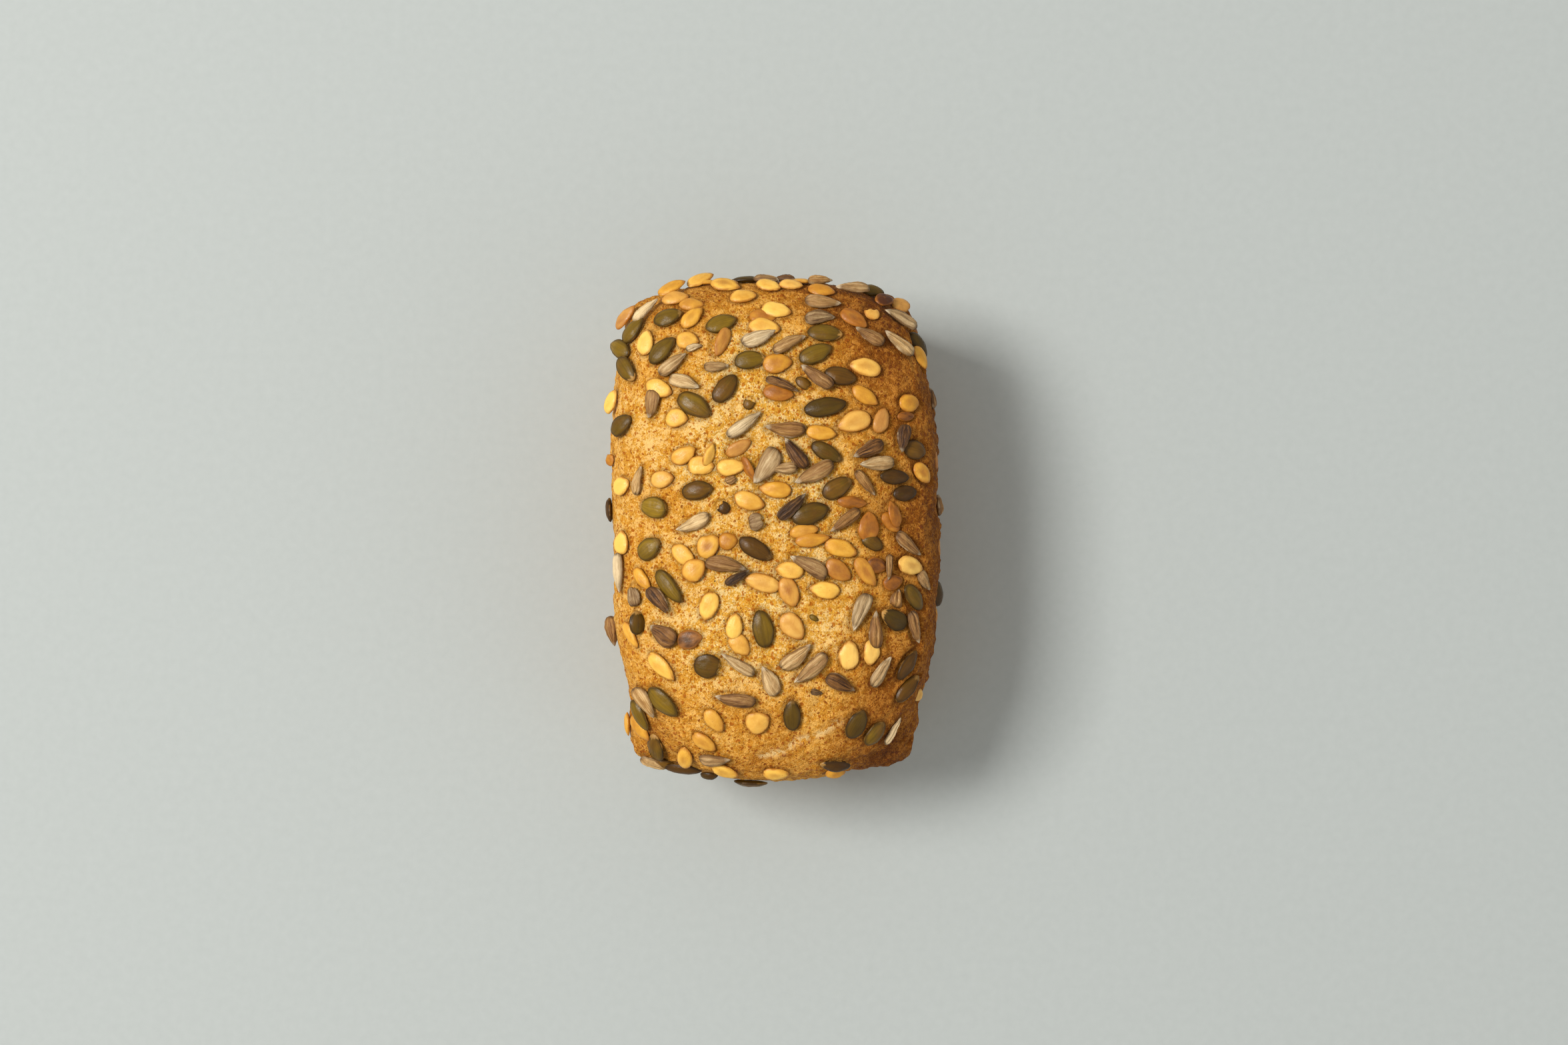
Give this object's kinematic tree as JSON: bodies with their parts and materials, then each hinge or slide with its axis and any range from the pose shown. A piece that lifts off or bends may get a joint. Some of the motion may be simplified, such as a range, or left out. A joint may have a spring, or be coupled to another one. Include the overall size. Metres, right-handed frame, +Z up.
{
  "type": "seeded loaf",
  "caption": "Baked tin loaf with a domed crown that overhangs tapered walls, and seed kernels set in its crust.",
  "frame": {"origin": "middle of the loaf's footprint, on the surface that it rests on", "axes": "+Y along the loaf, +X across it, +Z up through the crown"},
  "size_m": [0.1106, 0.169, 0.0921],
  "materials": {
    "crust": "baked wholemeal crust, matte and open-pored, with bran flecks",
    "pumpkin_seed": "satin, dark olive to brown, toasted",
    "melon_kernel": "satin, golden, toasted at the middle and tip",
    "sunflower_kernel": "matte, grey-brown, ridged lengthwise"
  },
  "bodies": {
    "root": {"loaf": "crust", "pumpkin_seed_01": "pumpkin_seed", "pumpkin_seed_02": "pumpkin_seed", "pumpkin_seed_03": "pumpkin_seed", "pumpkin_seed_04": "pumpkin_seed", "pumpkin_seed_05": "pumpkin_seed", "pumpkin_seed_06": "pumpkin_seed", "pumpkin_seed_07": "pumpkin_seed", "pumpkin_seed_08": "pumpkin_seed", "pumpkin_seed_09": "pumpkin_seed", "pumpkin_seed_10": "pumpkin_seed", "pumpkin_seed_11": "pumpkin_seed", "pumpkin_seed_12": "pumpkin_seed", "pumpkin_seed_13": "pumpkin_seed", "pumpkin_seed_14": "pumpkin_seed", "pumpkin_seed_15": "pumpkin_seed", "pumpkin_seed_16": "pumpkin_seed", "pumpkin_seed_17": "pumpkin_seed", "pumpkin_seed_18": "pumpkin_seed", "pumpkin_seed_19": "pumpkin_seed", "pumpkin_seed_20": "pumpkin_seed", "pumpkin_seed_21": "pumpkin_seed", "pumpkin_seed_22": "pumpkin_seed", "pumpkin_seed_23": "pumpkin_seed", "pumpkin_seed_24": "pumpkin_seed", "pumpkin_seed_25": "pumpkin_seed", "pumpkin_seed_26": "pumpkin_seed", "pumpkin_seed_27": "pumpkin_seed", "melon_kernel_01": "melon_kernel", "melon_kernel_02": "melon_kernel", "melon_kernel_03": "melon_kernel", "melon_kernel_04": "melon_kernel", "melon_kernel_05": "melon_kernel", "melon_kernel_06": "melon_kernel", "melon_kernel_07": "melon_kernel", "melon_kernel_08": "melon_kernel", "melon_kernel_09": "melon_kernel", "melon_kernel_10": "melon_kernel", "melon_kernel_11": "melon_kernel", "melon_kernel_12": "melon_kernel", "melon_kernel_13": "melon_kernel", "melon_kernel_14": "melon_kernel", "melon_kernel_15": "melon_kernel", "melon_kernel_16": "melon_kernel", "sunflower_kernel_01": "sunflower_kernel", "sunflower_kernel_02": "sunflower_kernel", "sunflower_kernel_03": "sunflower_kernel", "sunflower_kernel_04": "sunflower_kernel", "sunflower_kernel_05": "sunflower_kernel", "sunflower_kernel_06": "sunflower_kernel", "sunflower_kernel_07": "sunflower_kernel", "sunflower_kernel_08": "sunflower_kernel", "sunflower_kernel_09": "sunflower_kernel", "sunflower_kernel_10": "sunflower_kernel", "sunflower_kernel_11": "sunflower_kernel", "sunflower_kernel_12": "sunflower_kernel", "sunflower_kernel_13": "sunflower_kernel", "sunflower_kernel_14": "sunflower_kernel", "sunflower_kernel_15": "sunflower_kernel", "sunflower_kernel_16": "sunflower_kernel"}
  },
  "joints": []
}
